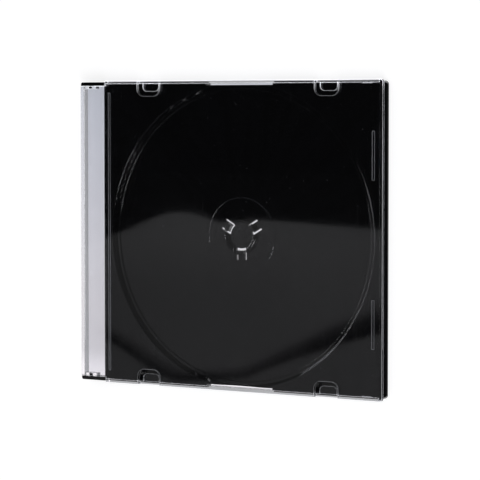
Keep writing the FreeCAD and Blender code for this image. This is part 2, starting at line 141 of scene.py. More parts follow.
# Where the fold's broad part and its core rise, as shares of its width, and how it ends below.
FOLD_BROAD_RISE = (-0.1, 0.6)
FOLD_CORE_RISE = (0.55, 1.0)
FOLD_END = (0.0006, 0.0030)

# Depth under the top of the lid at which the board's place is worked out.
MIRROR_DEPTH = 0.0015

# Depths inside the lid's outline where the painted glow along a wall begins and where it is full.
UPPER_GLOW_BAND = (0.0050, 0.0013)
LOWER_GLOW_BAND = (0.0025, 0.0013)
END_GLOW_BAND = (0.0020, 0.0005)

# Turn of each direction of scuffs, with its scale across and along.
SCUFF_LINES = ((0.4, 2600.0, 60.0), (1.9, 3400.0, 90.0), (2.7, 1800.0, 35.0))

# What smudges, flow marks, scuffs and dust add to the roughness of the two mouldings.
BLACK_SMUDGE_ROUGH = 0.014
BLACK_FLOW_ROUGH = 0.01
BLACK_SCUFF_ROUGH = 0.25
CLEAR_SMUDGE_ROUGH = 0.010
CLEAR_SCUFF_ROUGH = 0.12
CLEAR_DUST_ROUGH = 0.4

# Heights in the bump of the two mouldings, and how far a height of one stands out.
BLACK_WAVE_HEIGHT = 0.35
BLACK_GRAIN_HEIGHT = 0.10
SCUFF_HEIGHT = 0.02
BLACK_BUMP = 0.00008
CLEAR_BUMP = 0.00005

DUST_COLOUR = (0.16, 0.16, 0.165)

# How far from the platform's edge the painted highlight line is full, and where it ends.
PLATFORM_HIGHLIGHT_BAND = (0.0001, 0.0003)

# What the lid lets through to matt things under it.
LID_PASSES = (0.82, 0.83, 0.85)

# Floor light that glass shows: where it grows and to what share, where it rises at the lower end
# and by how much, and where its tint turns.
FLOOR_SPAN = (0.065, 0.0)
FLOOR_FULL = 1.025
LOW_END_SPAN = (-0.048, -0.060)
LOW_END_RISE = 0.48
TINT_SPAN = (0.055, -0.030)

# Dark strips on the floor, seen only in gloss, that paint shade into what the case's walls mirror: their
# gap to the case and their width.
STRIP_GAP = 0.0004
STRIP_WIDTH = 0.060

# Shades on the floor: where those under the side walls begin, just past the black arms, and how
# far these and the one at the hinge reach out from the case's outline and in from it.
SHADE_START = -0.0590
SIDE_SHADE = (0.004, 0.0012)
HINGE_SHADE = (0.008, 0.0005)

FRONT_BOX = [(-0.15, -0.62, 0.20), (0.50, -0.62, 0.20), (0.50, -0.62, 0.50), (-0.15, -0.62, 0.50)]
LEFT_BOX = [(-0.75, -0.12, 0.16), (-0.75, 0.40, 0.16), (-0.75, 0.40, 0.60), (-0.75, -0.12, 0.60)]
LAMP_PLACE = (0.9, -0.9, 1.1)
LAMP_SIDE = 0.9


# Settings


class CaseFinish(PropertyGroup):
    """Colours and surface of the two mouldings."""

    black_colour: FloatVectorProperty(
        name="Black plastic",
        description="Colour of the tray moulding",
        subtype="COLOR",
        size=3,
        min=0.0,
        max=1.0,
        default=(0.0016, 0.0016, 0.0020),
    )
    # Painted highlight: a pale line round the edge of the hub's platform.
    platform_highlight_colour: FloatVectorProperty(
        name="Painted hub highlight",
        description="Colour of the fine line round the hub's platform",
        subtype="COLOR",
        size=3,
        min=0.0,
        max=1.0,
        default=(0.030, 0.030, 0.032),
    )
    black_roughness: FloatProperty(
        name="Black roughness",
        description="Roughness of the polished faces of the tray moulding",
        subtype="FACTOR",
        min=0.0,
        max=1.0,
        default=0.022,
    )
    back_roughness: FloatProperty(
        name="Back roughness",
        description="Roughness of the fine textured back of the tray moulding",
        subtype="FACTOR",
        min=0.0,
        max=1.0,
        default=0.38,
    )
    clear_colour: FloatVectorProperty(
        name="Clear plastic",
        description="Tint of what shows through the lid",
        subtype="COLOR",
        size=3,
        min=0.0,
        max=1.0,
        default=(0.87, 0.875, 0.90),
    )
    # Painted highlight: pale tone and glow colour laid on the lid's edges, standing in for light that runs
    # inside the clear plastic and comes out there.
    edge_highlight_colour: FloatVectorProperty(
        name="Lid edges",
        description="Tone of the lid's edges, where light that runs inside the clear plastic comes out",
        subtype="COLOR",
        size=3,
        min=0.0,
        max=1.0,
        default=(0.46, 0.465, 0.49),
    )
    # Share of the painted highlight on the lid's edges.
    edge_highlight_share: FloatProperty(
        name="Lid edge share",
        description="How much of the lid's edges shows their own tone",
        subtype="FACTOR",
        min=0.0,
        max=1.0,
        default=0.9,
    )
    # Painted glow: emission on all of the lid's edges.
    painted_edge_glow: FloatProperty(
        name="Lid edge glow",
        description="Strength of the light that comes out along the lid's edges",
        min=0.0,
        max=2.0,
        default=0.03,
    )
    # Painted glow along the upper wall, the one farthest from the lamp, added to the edges' own.
    painted_upper_glow: FloatProperty(
        name="Upper wall glow",
        description="Light that comes out along the wall farthest from the lamp, over the edges' own",
        min=0.0,
        max=10.0,
        default=3.6,
    )
    # Painted glow along the lower wall, the one nearest to the lamp, added to the edges' own.
    painted_lower_glow: FloatProperty(
        name="Lower wall glow",
        description="Light that comes out along the wall nearest to the lamp, over the edges' own",
        min=0.0,
        max=10.0,
        default=0.8,
    )
    # Painted glow along the opening end, added to the edges' own.
    painted_end_glow: FloatProperty(
        name="Opening end glow",
        description="Light that comes out along the opening end, over the edges' own",
        min=0.0,
        max=10.0,
        default=1.25,
    )
    clear_roughness: FloatProperty(
        name="Clear roughness",
        description="Roughness of the lid",
        subtype="FACTOR",
        min=0.0,
        max=1.0,
        default=0.010,
    )
    black_edge: FloatProperty(
        name="Black edge radius",
        description="Small radius on every edge of the tray moulding that has no larger one",
        unit="LENGTH",
        precision=5,
        min=0.0,
        max=0.001,
        default=0.0002,
    )
    # Width of the painted highlight beside each edge of the lid.
    edge_highlight_radius: FloatProperty(
        name="Lid edge radius",
        description="Width beside each edge of the lid where light inside it comes out",
        unit="LENGTH",
        precision=5,
        min=0.0,
        max=0.001,
        default=0.00034,
    )
    scuffs: FloatProperty(
        name="Scuffs",
        description="How far fine scuffs roughen the surfaces",
        subtype="FACTOR",
        min=0.0,
        max=1.0,
        default=0.35,
    )
    dust: FloatProperty(
        name="Dust",
        description="How much dust lies on the surfaces",
        subtype="FACTOR",
        min=0.0,
        max=1.0,
        default=0.3,
    )


class CaseStudio(PropertyGroup):
    """Floor, light and the board that the lid mirrors."""

    floor_size: FloatProperty(
        name="Floor size",
        description="Length of each side of the floor",
        unit="LENGTH",
        min=1.0,
        max=50.0,
        default=16.0,
    )
    floor_drop: FloatProperty(
        name="Floor gap",
        description="How far the floor lies under the case",
        unit="LENGTH",
        precision=5,
        min=0.0,
        max=0.001,
        default=0.0001,
    )
    floor_colour: FloatVectorProperty(
        name="Floor",
        description="Colour of the floor",
        subtype="COLOR",
        size=3,
        min=0.0,
        max=1.0,
        default=(0.42, 0.42, 0.43),
    )
    floor_lift: FloatProperty(
        name="Floor lift",
        description="Even share of white that the floor shows to the eye, in glass and in gloss",
        subtype="FACTOR",
        min=0.0,
        max=1.0,
        default=0.75,
    )
    floor_fall: FloatProperty(
        name="Floor light at the upper end",
        description="Share of the lift that glass shows at the case's upper end",
        subtype="FACTOR",
        min=0.0,
        max=1.0,
        default=0.88,
    )
    upper_tint: FloatVectorProperty(
        name="Tint at the upper end",
        description="Cool tint of the floor's light at the case's upper end, as glass shows it",
        subtype="COLOR",
        size=3,
        min=0.0,
        max=1.0,
        default=(0.927, 0.943, 1.0),
    )
    lower_tint: FloatVectorProperty(
        name="Tint at the lower end",
        description="Warm tint of the floor's light at the case's lower end, as glass shows it",
        subtype="COLOR",
        size=3,
        min=0.0,
        max=1.0,
        default=(1.0, 0.954, 0.959),
    )
    sky_level: FloatProperty(
        name="Sky light",
        description="Strength of the even light from all sides",
        min=0.0,
        max=2.0,
        default=0.6,
    )
    ceiling_level: FloatProperty(
        name="Ceiling",
        description="Brightness of the dark ceiling that gloss mirrors",
        min=0.0,
        max=1.0,
        default=0.010,
    )
    horizon_band: FloatProperty(
        name="Horizon band",
        description="Height of the white band over the floor that gloss mirrors, as the sine of its angle",
        subtype="FACTOR",
        min=0.001,
        max=1.0,
        default=0.12,
    )
    lamp_power: FloatProperty(
        name="Lamp power",
        description="Power of the large soft lamp",
        unit="POWER",
        min=0.0,
        max=100.0,
        default=9.0,
    )
    board_level: FloatProperty(
        name="Grey board",
        description="Brightness of the grey board that the closed lid mirrors",
        min=0.0,
        max=1.0,
        default=0.169,
    )
    front_card: FloatProperty(
        name="Front card",
        description="Brightness of the soft box in front, that rounded edges mirror",
        min=0.0,
        max=20.0,
        default=0.5,
    )
    left_card: FloatProperty(
        name="Left card",
        description="Brightness of the soft box beyond the hinge, that rounded edges mirror",
        min=0.0,
        max=20.0,
        default=3.0,
    )
    wall_shade: FloatProperty(
        name="Shade under the walls",
        description="Brightness of the floor under the lid's side walls, as glass shows it",
        min=0.0,
        max=1.0,
        default=0.50,
    )
    board_distance: FloatProperty(
        name="Board distance",
        description="Distance from the case to the grey board",
        unit="LENGTH",
        min=0.3,
        max=3.0,
        default=0.9,
    )


class CaseView(PropertyGroup):
    """Where the camera stands."""

    turn: FloatProperty(
        name="Turn",
        description="Angle between the view and the normal of the lid, towards the opening edge",
        subtype="ANGLE",
        min=-math.pi / 2,
        max=math.pi / 2,
        default=math.radians(31.18),
    )
    tilt: FloatProperty(
        name="Tilt",
        description="Angle of the view towards the upper edge of the picture",
        subtype="ANGLE",
        min=-math.pi / 2,
        max=math.pi / 2,
        default=math.radians(3.18),
    )
    distance: FloatProperty(
        name="Distance",
        description="Distance from the camera to the middle of the lid",
        unit="LENGTH",
        min=0.2,
        max=10.0,
        default=0.9447,
    )
    aim_right: FloatProperty(
        name="Aim right",
        description="How far the middle of the lid lies right of the picture's middle",
        unit="LENGTH",
        precision=5,
        default=-0.00572,
    )
    aim_up: FloatProperty(
        name="Aim up",
        description="How far the middle of the lid lies above the picture's middle",
        unit="LENGTH",
        precision=5,
        default=0.00166,
    )
    lens: FloatProperty(
        name="Lens",
        description="Focal length on a sensor 36 mm wide",
        unit="CAMERA",
        min=10.0,
        max=500.0,
        default=176.19,
    )


# Node helpers


def add_node(tree, kind, values=None, **settings):
    """A new node with its settings and the values of its named inputs."""
    node = tree.nodes.new(kind)
    for name, value in settings.items():
        setattr(node, name, value)
    for name, value in (values or {}).items():
        node.inputs[name].default_value = value
    return node


def link(tree, source, target):
    tree.links.new(source, target)


def feed(tree, value, target):
    """Gives an input another node's output, or a fixed value."""
    if isinstance(value, bpy.types.NodeSocket):
        link(tree, value, target)
    else:
        target.default_value = value


def math_node(tree, operation, first, second=None, clamp=False):
    """A math node's output for one or two sockets or numbers."""
    node = add_node(tree, "ShaderNodeMath", operation=operation, use_clamp=clamp)
    feed(tree, first, node.inputs[0])
    if second is not None:
        feed(tree, second, node.inputs[1])
    return node.outputs[0]


def times(tree, first, second):
    return math_node(tree, "MULTIPLY", first, second)


def plus(tree, first, second):
    return math_node(tree, "ADD", first, second)


def blend_values(tree, kind, share, first, second):
    """A blend of two numbers (kind FLOAT) or two colours (kind RGBA)."""
    node = add_node(tree, "ShaderNodeMix", data_type=kind)
    place, output = (2, 0) if kind == "FLOAT" else (6, 2)
    feed(tree, share, node.inputs[0])
    feed(tree, first, node.inputs[place])
    feed(tree, second, node.inputs[place + 1])
    return node.outputs[output]


def blend_shaders(tree, share, first, second):
    """A blend of two shaders."""
    node = tree.nodes.new("ShaderNodeMixShader")
    for place, socket in enumerate((share, first, second)):
        link(tree, socket, node.inputs[place])
    return node.outputs[0]


def opaque(colour, share=1.0):
    """A share of a colour, with full alpha."""
    return tuple(share * part for part in colour) + (1.0,)


def map_range(tree, value, low, high, to_low, to_high, smooth=False):
    """Carries a value from one range to another."""
    node = add_node(
        tree,
        "ShaderNodeMapRange",
        {"From Min": low, "From Max": high, "To Min": to_low, "To Max": to_high},
        interpolation_type="SMOOTHSTEP" if smooth else "LINEAR",
    )
    link(tree, value, node.inputs["Value"])
    return node.outputs["Result"]


def new_group(name, inputs, outputs):
    """An empty shader group with its sockets, and its two end nodes."""
    tree = bpy.data.node_groups.new(name, "ShaderNodeTree")
    for socket, kind, value in inputs:
        made = tree.interface.new_socket(socket, in_out="INPUT", socket_type=kind)
        if value is not None:
            made.default_value = value
    for socket, kind in outputs:
        tree.interface.new_socket(socket, in_out="OUTPUT", socket_type=kind)
    start = tree.nodes.new("NodeGroupInput")
    end = tree.nodes.new("NodeGroupOutput")
    return tree, start, end


def place_group(tree, group, coordinates, **values):
    """A group node in a material, with its own values."""
    node = tree.nodes.new("ShaderNodeGroup")
    node.node_tree = group
    for name, value in values.items():
        node.inputs[name.replace("_", " ")].default_value = value
    link(tree, coordinates, node.inputs["Vector"])
    return node


def lay_out(tree):
    """Sets the nodes in columns by how far each is from the output."""
    depth = {}

    def visit(node, level):
        if depth.get(node.name, -1) >= level:
            return
        depth[node.name] = level
        for socket in node.inputs:
            for joined in socket.links:
                visit(joined.from_node, level + 1)

    for node in tree.nodes:
        if node.bl_idname in ("ShaderNodeOutputMaterial", "NodeGroupOutput", "ShaderNodeOutputWorld"):
            visit(node, 0)
    rows = {}
    for node in tree.nodes:
        level = depth.get(node.name, 0)
        node.location = (-240 * level, -220 * rows.get(level, 0))
        rows[level] = rows.get(level, 0) + 1


# Shader groups


def scuff_group():
    """Fine straight scuffs in three directions, and wide soft smudges."""
    name = "fine_scuffs"
    if name in bpy.data.node_groups:
        return bpy.data.node_groups[name]
    tree, start, end = new_group(
        name,
        [
            ("Vector", "NodeSocketVector", None),
            ("Amount", "NodeSocketFloat", 0.3),
            ("Smudge Scale", "NodeSocketFloat", 30.0),
        ],
        [("Scuffs", "NodeSocketFloat"), ("Smudges", "NodeSocketFloat")],
    )
    total = None
    for turn, across, along in SCUFF_LINES:
        turned = add_node(
            tree,
            "ShaderNodeMapping",
            {"Rotation": (0.0, 0.0, turn), "Scale": (across, along, 400.0)},
        )
        link(tree, start.outputs["Vector"], turned.inputs["Vector"])
        noise = add_node(
            tree, "ShaderNodeTexNoise", {"Scale": 1.0, "Detail": 1.0, "Roughness": 0.4}
        )
        link(tree, turned.outputs[0], noise.inputs["Vector"])
        line = map_range(tree, noise.outputs["Fac"], 0.66, 0.78, 0.0, 1.0)
        total = line if total is None else math_node(tree, "MAXIMUM", total, line)
    patch = add_node(
        tree, "ShaderNodeTexNoise", {"Scale": 55.0, "Detail": 2.0, "Roughness": 0.5}
    )
    link(tree, start.outputs["Vector"], patch.inputs["Vector"])
    where = map_range(tree, patch.outputs["Fac"], 0.42, 0.62, 0.15, 1.0, smooth=True)
    worn = times(tree, total, where)
    link(tree, times(tree, worn, start.outputs["Amount"]), end.inputs["Scuffs"])
    smudge = add_node(tree, "ShaderNodeTexNoise", {"Detail": 4.0, "Roughness": 0.55})
    link(tree, start.outputs["Vector"], smudge.inputs["Vector"])
    link(tree, start.outputs["Smudge Scale"], smudge.inputs["Scale"])
    link(
        tree,
        map_range(tree, smudge.outputs["Fac"], 0.35, 0.7, 0.0, 1.0, smooth=True),
        end.inputs["Smudges"],
    )
    lay_out(tree)
    return tree


def dust_group():
    """Sparse specks, a tenth or two of a millimetre across."""
    name = "dust_specks"
    if name in bpy.data.node_groups:
        return bpy.data.node_groups[name]
    tree, start, end = new_group(
        name,
        [
            ("Vector", "NodeSocketVector", None),
            ("Amount", "NodeSocketFloat", 0.3),
            ("Scale", "NodeSocketFloat", 700.0),
        ],
        [("Specks", "NodeSocketFloat")],
    )
    cells = add_node(tree, "ShaderNodeTexVoronoi", {"Randomness": 1.0}, feature="F1")
    link(tree, start.outputs["Vector"], cells.inputs["Vector"])
    link(tree, start.outputs["Scale"], cells.inputs["Scale"])
    parts = tree.nodes.new("ShaderNodeSeparateColor")
    link(tree, cells.outputs["Color"], parts.inputs[0])
    present = math_node(tree, "GREATER_THAN", parts.outputs[0], 0.93)
    size = map_range(tree, parts.outputs[1], 0.0, 1.0, 0.05, 0.16)
    inside = math_node(tree, "LESS_THAN", cells.outputs["Distance"], size)
    speck = times(tree, present, inside)
    link(tree, times(tree, speck, start.outputs["Amount"]), end.inputs["Specks"])
    lay_out(tree)
    return tree


def mould_group():
    """The slight waviness and fine grain that a moulded face keeps from its tool."""
    name = "moulded_face"
    if name in bpy.data.node_groups:
        return bpy.data.node_groups[name]
    tree, start, end = new_group(
        name,
        [
            ("Vector", "NodeSocketVector", None),
            ("Wave Scale", "NodeSocketFloat", 25.0),
            ("Grain Scale", "NodeSocketFloat", 4000.0),
        ],
        [("Waves", "NodeSocketFloat"), ("Grain", "NodeSocketFloat")],
    )
    waves = add_node(tree, "ShaderNodeTexNoise", {"Detail": 1.0, "Roughness": 0.3})
    link(tree, start.outputs["Vector"], waves.inputs["Vector"])
    link(tree, start.outputs["Wave Scale"], waves.inputs["Scale"])
    link(tree, waves.outputs["Fac"], end.inputs["Waves"])
    grain = add_node(tree, "ShaderNodeTexNoise", {"Detail": 3.0, "Roughness": 0.6})
    link(tree, start.outputs["Vector"], grain.inputs["Vector"])
    link(tree, start.outputs["Grain Scale"], grain.inputs["Scale"])
    link(tree, grain.outputs["Fac"], end.inputs["Grain"])
    lay_out(tree)
    return tree


# Materials


def new_material(name):
    material = bpy.data.materials.new(name)
    material.use_nodes = True
    material.node_tree.nodes.clear()
    return material, material.node_tree


def black_plastic(finish):
    """Black polystyrene: polished faces, textured back, flow marks and a painted highlight line round the
    hub's platform.
    """
    material, tree = new_material("black_moulding")
    out = tree.nodes.new("ShaderNodeOutputMaterial")
    shader = add_node(
        tree, "ShaderNodeBsdfPrincipled", {"IOR": 1.59, "Specular IOR Level": 0.95}
    )
    link(tree, shader.outputs[0], out.inputs["Surface"])
    place = tree.nodes.new("ShaderNodeTexCoord")
    where = place.outputs["Object"]

    scuffs = place_group(tree, scuff_group(), where, Amount=finish.scuffs, Smudge_Scale=35.0)
    dust = place_group(tree, dust_group(), where, Amount=finish.dust, Scale=650.0)
    mould = place_group(tree, mould_group(), where, Wave_Scale=30.0, Grain_Scale=5200.0)

    facing = tree.nodes.new("ShaderNodeSeparateXYZ")
    link(tree, place.outputs["Normal"], facing.inputs[0])
    back = map_range(tree, facing.outputs["Z"], -0.3, -0.8, 0.0, 1.0)

    # Flow marks: faint rays that run out from the hub, where the plastic came in.
    offset = add_node(tree, "ShaderNodeVectorMath", operation="SUBTRACT")
    offset.inputs[1].default_value = HUB
    link(tree, where, offset.inputs[0])
    polar = add_node(tree, "ShaderNodeTexGradient", gradient_type="RADIAL")
    link(tree, offset.outputs[0], polar.inputs["Vector"])
    reach = add_node(tree, "ShaderNodeVectorMath", operation="LENGTH")
    link(tree, offset.outputs[0], reach.inputs[0])
    ray_place = tree.nodes.new("ShaderNodeCombineXYZ")
    link(tree, times(tree, polar.outputs["Fac"], 60.0), ray_place.inputs["X"])
    link(tree, times(tree, reach.outputs["Value"], 25.0), ray_place.inputs["Y"])
    rays = add_node(tree, "ShaderNodeTexNoise", {"Scale": 1.0, "Detail": 2.0})
    link(tree, ray_place.outputs[0], rays.inputs["Vector"])
    flow = map_range(tree, rays.outputs["Fac"], 0.35, 0.65, 0.0, 1.0, smooth=True)

    polish = finish.black_roughness
    rough = map_range(
        tree, scuffs.outputs["Smudges"], 0.0, 1.0, polish, polish + BLACK_SMUDGE_ROUGH
    )
    rough = plus(tree, rough, times(tree, flow, BLACK_FLOW_ROUGH))
    rough = plus(tree, rough, times(tree, scuffs.outputs["Scuffs"], BLACK_SCUFF_ROUGH))
    matt = finish.back_roughness
    textured = map_range(tree, mould.outputs["Grain"], 0.3, 0.7, matt - 0.05, matt + 0.08)
    link(tree, blend_values(tree, "FLOAT", back, rough, textured), shader.inputs["Roughness"])

    dark = finish.black_colour
    tone = blend_values(tree, "RGBA", flow, opaque(dark), opaque(dark, 1.5))
    tone = blend_values(tree, "RGBA", dust.outputs["Specks"], tone, opaque(DUST_COLOUR))
    # A painted highlight: a pale line all the way round the platform's edge at the hub, on faces that look
    # up.
    off_edge = math_node(tree, "SUBTRACT", reach.outputs["Value"], PLATFORM_RADIUS)
    off_edge = math_node(tree, "ABSOLUTE", off_edge)
    on_edge = map_range(tree, off_edge, *PLATFORM_HIGHLIGHT_BAND, 1.0, 0.0)
    on_front = map_range(tree, facing.outputs["Z"], 0.2, 0.4, 0.0, 1.0)
    painted_highlight_line = times(tree, on_edge, on_front)
    tone = blend_values(tree, "RGBA", painted_highlight_line, tone, opaque(finish.platform_highlight_colour))
    link(tree, tone, shader.inputs["Base Color"])

    height = times(tree, mould.outputs["Waves"], BLACK_WAVE_HEIGHT)
    grain = times(tree, mould.outputs["Grain"], times(tree, back, BLACK_GRAIN_HEIGHT))
    height = plus(tree, height, grain)
    scratches = times(tree, scuffs.outputs["Scuffs"], SCUFF_HEIGHT)
    height = math_node(tree, "SUBTRACT", height, scratches)
    rounded = add_node(tree, "ShaderNodeBevel", {"Radius": finish.black_edge}, samples=8)
    bump = add_node(tree, "ShaderNodeBump", {"Strength": 1.0, "Distance": BLACK_BUMP})
    link(tree, rounded.outputs[0], bump.inputs["Normal"])
    link(tree, height, bump.inputs["Height"])
    link(tree, bump.outputs[0], shader.inputs["Normal"])
    lay_out(tree)
    return material


def own_span(piece, axis):
    """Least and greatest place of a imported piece's mesh along one of its own axes."""
    places = [vertex.co[axis] for vertex in piece.data.vertices]
    return min(places), max(places)


def painted_glow_along(tree, place, edge, inward, band, strength):
    """Painted glow that grows across a band of depths inside one edge of the lid."""
    begin, full = (edge + inward * depth for depth in band)
    return map_range(tree, place, begin, full, 0.0, strength)


def clear_plastic(finish):
    """Clear polystyrene that lets light through to what lies under it, with a painted highlight and glow
    along its edges.
    """
    material, tree = new_material("clear_moulding")
    out = tree.nodes.new("ShaderNodeOutputMaterial")
    shader = add_node(
        tree, "ShaderNodeBsdfPrincipled", {"IOR": 1.53, "Transmission Weight": 1.0}
    )
    place = tree.nodes.new("ShaderNodeTexCoord")
    where = place.outputs["Object"]
    scuffs = place_group(tree, scuff_group(), where, Amount=finish.scuffs, Smudge_Scale=28.0)
    dust = place_group(tree, dust_group(), where, Amount=finish.dust, Scale=800.0)
    mould = place_group(tree, mould_group(), where, Wave_Scale=18.0, Grain_Scale=3500.0)
    smudges = scuffs.outputs["Smudges"]

    polish = finish.clear_roughness
    rough = map_range(tree, smudges, 0.0, 1.0, polish, polish + CLEAR_SMUDGE_ROUGH)
    rough = plus(tree, rough, times(tree, scuffs.outputs["Scuffs"], CLEAR_SCUFF_ROUGH))
    dusty = times(tree, dust.outputs["Specks"], CLEAR_DUST_ROUGH)
    rough = math_node(tree, "ADD", rough, dusty, clamp=True)
    link(tree, rough, shader.inputs["Roughness"])

    clear = finish.clear_colour
    tone = blend_values(tree, "RGBA", smudges, opaque(clear), opaque(clear, 0.985))
    link(tree, tone, shader.inputs["Base Color"])

    scratches = times(tree, scuffs.outputs["Scuffs"], SCUFF_HEIGHT)
    height = math_node(tree, "SUBTRACT", mould.outputs["Waves"], scratches)
    bump = add_node(tree, "ShaderNodeBump", {"Strength": 1.0, "Distance": CLEAR_BUMP})
    link(tree, height, bump.inputs["Height"])
    link(tree, bump.outputs[0], shader.inputs["Normal"])

    # Painted highlight and glow along the edges: a pale tone and emission near each edge stand in for
    # light that runs inside the plastic and comes out there.
    edge = add_node(
        tree,
        "ShaderNodeBsdfPrincipled",
        {"IOR": 1.53, "Transmission Weight": 0.25, "Roughness": 0.3},
    )
    # Painted glow, stronger along the upper wall, farthest from the lamp, than along the lower wall and
    # the opening end.
    spot = tree.nodes.new("ShaderNodeSeparateXYZ")
    link(tree, where, spot.inputs[0])
    along, up = spot.outputs["X"], spot.outputs["Y"]
    opening = own_span(LID, 0)[1]
    lower_wall, upper_wall = own_span(LID, 1)
    upper = painted_glow_along(tree, up, upper_wall, -1, UPPER_GLOW_BAND, finish.painted_upper_glow)
    lower = painted_glow_along(tree, up, lower_wall, 1, LOWER_GLOW_BAND, finish.painted_lower_glow)
    end = painted_glow_along(tree, along, opening, -1, END_GLOW_BAND, finish.painted_end_glow)
    glow = plus(tree, plus(tree, upper, lower), end)
    link(tree, plus(tree, glow, finish.painted_edge_glow), edge.inputs["Emission Strength"])
    pale = finish.edge_highlight_colour
    edge_highlight_tone = blend_values(tree, "RGBA", smudges, opaque(pale), opaque(pale, 0.72))
    link(tree, edge_highlight_tone, edge.inputs["Base Color"])
    link(tree, edge_highlight_tone, edge.inputs["Emission Color"])
    # Mask of the painted highlight: near each edge, where the rounded normal turns away from the face's
    # own.
    rounded = add_node(tree, "ShaderNodeBevel", {"Radius": finish.edge_highlight_radius}, samples=4)
    face = tree.nodes.new("ShaderNodeNewGeometry")
    turned = add_node(tree, "ShaderNodeVectorMath", operation="DOT_PRODUCT")
    link(tree, rounded.outputs[0], turned.inputs[0])
    link(tree, face.outputs["Normal"], turned.inputs[1])
    flat = math_node(tree, "ABSOLUTE", turned.outputs["Value"])
    edge_highlight_mask = map_range(tree, flat, 0.98, 0.88, 0.0, finish.edge_highlight_share)
    with_painted_edges = blend_shaders(tree, edge_highlight_mask, shader.outputs[0], edge.outputs[0])

    through = add_node(tree, "ShaderNodeBsdfTransparent", {"Color": opaque(LID_PASSES)})
    rays = tree.nodes.new("ShaderNodeLightPath")
    lit = math_node(tree, "MAXIMUM", rays.outputs["Is Shadow Ray"], rays.outputs["Is Diffuse Ray"])
    surface = blend_shaders(tree, lit, with_painted_edges, through.outputs[0])
    link(tree, surface, out.inputs["Surface"])
    lay_out(tree)
    return material


def dress(piece, material):
    """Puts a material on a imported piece."""
    for slot in piece.material_slots:
        slot.material = material


# Studio


def line_height(points, x):
    """Height at x of a line through points."""
    if x <= points[0][0]:
        return points[0][1]
    for (x0, y0), (x1, y1) in zip(points, points[1:]):
        if x <= x1:
            return y0 + (y1 - y0) * (x - x0) / (x1 - x0)
    return points[-1][1]


def smooth_step(value, low, high):
    share = min(1.0, max(0.0, (value - low) / (high - low)))
    return share * share * (3 - 2 * share)


def board_glow(x, y):
    """How bright the board is where the lid mirrors it at x, y."""
    top = smooth_step(line_height(BOARD_EDGE, x) - y, *BOARD_SOFT)
    upper = line_height(FOLD_UPPER, x)
    lower = line_height(FOLD_LOWER, x)
    broad = line_height(FOLD_BROAD, x)
    core = line_height(FOLD_CORE, x)
    share = (upper - y) / (upper - lower)
    dark = broad * smooth_step(share, *FOLD_BROAD_RISE)
    dark += (core - broad) * smooth_step(share, *FOLD_CORE_RISE)
    dark *= 1.0 - smooth_step(lower - y, *FOLD_END)
    left, right = BOARD_X
    sides = smooth_step(x - left, 0.0, BOARD_FADE) * smooth_step(right - x, 0.0, BOARD_FADE)
    low = smooth_step(y - BOARD_Y[0], 0.0, BOARD_FADE)
    even = BOARD_EVEN
    for (middle_x, middle_y), (wide, tall), more in BOARD_PATCHES:
        away = ((x - middle_x) / wide) ** 2 + ((y - middle_y) / tall) ** 2
        even += more * math.exp(-0.5 * away)
    return top * (1.0 - dark) * sides * low * min(1.0, even)


def camera_frame(view):
    """Camera position and its right, up and forward directions."""
    turn, tilt = view.turn, view.tilt
    level = Vector((-math.sin(turn), 0.0, -math.cos(turn)))
    right = Vector((math.cos(turn), 0.0, -math.sin(turn)))
    upright = Vector((0.0, 1.0, 0.0))
    forward = level * math.cos(tilt) - upright * math.sin(tilt)
    up = upright * math.cos(tilt) + level * math.sin(tilt)
    middle = Vector((0.0, 0.0, CASE_TOP))
    place = middle - forward * view.distance - right * view.aim_right - up * view.aim_up
    return place, right, up, forward


def add_mesh(name, points, faces):
    """A new object in the scene, with its mesh."""
    mesh = bpy.data.meshes.new(name)
    mesh.from_pydata(points, [], faces)
    made = bpy.data.objects.new(name, mesh)
    bpy.context.scene.collection.objects.link(made)
    return made


def keep_to_gloss(made):
    """Hides a stage object from the camera, from matt surfaces and from shadows."""
    made.visible_camera = False
    made.visible_diffuse = False
    made.visible_shadow = False


def grey_board(studio, view):
    """A board with a curved edge, placed where the lid mirrors it to the camera."""
    place = camera_frame(view)[0]
    level = CASE_TOP - MIRROR_DEPTH
    seen_from = Vector((place.x, place.y, 2 * level - place.z))
    middle = Vector((0.0, 0.0, level))
    out = (middle - seen_from).normalized()
    centre = middle + out * studio.board_distance
    wide = BOARD_X[1] - BOARD_X[0]
    tall = BOARD_Y[1] - BOARD_Y[0]
    points, glows, faces = [], [], []
    for row in range(BOARD_ROWS):
        for column in range(BOARD_COLUMNS):
            x = BOARD_X[0] + wide * column / (BOARD_COLUMNS - 1)
            y = BOARD_Y[0] + tall * row / (BOARD_ROWS - 1)
            ray = Vector((x, y, level)) - seen_from
            reach = (centre - seen_from).dot(out) / ray.dot(out)
            points.append(seen_from + ray * reach)
            glows.append(board_glow(x, y))
    for row in range(BOARD_ROWS - 1):
        for column in range(BOARD_COLUMNS - 1):
            first = row * BOARD_COLUMNS + column
            above = first + BOARD_COLUMNS
            faces.append((first, first + 1, above + 1, above))
    board = add_mesh("grey_board", points, faces)
    keep_to_gloss(board)
    glow = board.data.attributes.new("glow", "FLOAT", "POINT")
    glow.data.foreach_set("value", glows)

    material, tree = new_material("grey_board")
    out_node = tree.nodes.new("ShaderNodeOutputMaterial")
    light = tree.nodes.new("ShaderNodeEmission")
    grey = add_node(tree, "ShaderNodeAttribute", attribute_name="glow")
    strength = map_range(
        tree, grey.outputs["Fac"], 0.0, 1.0, studio.ceiling_level, studio.board_level
    )
    link(tree, strength, light.inputs["Strength"])
    link(tree, light.outputs[0], out_node.inputs["Surface"])
    lay_out(tree)
    board.data.materials.append(material)
    return board


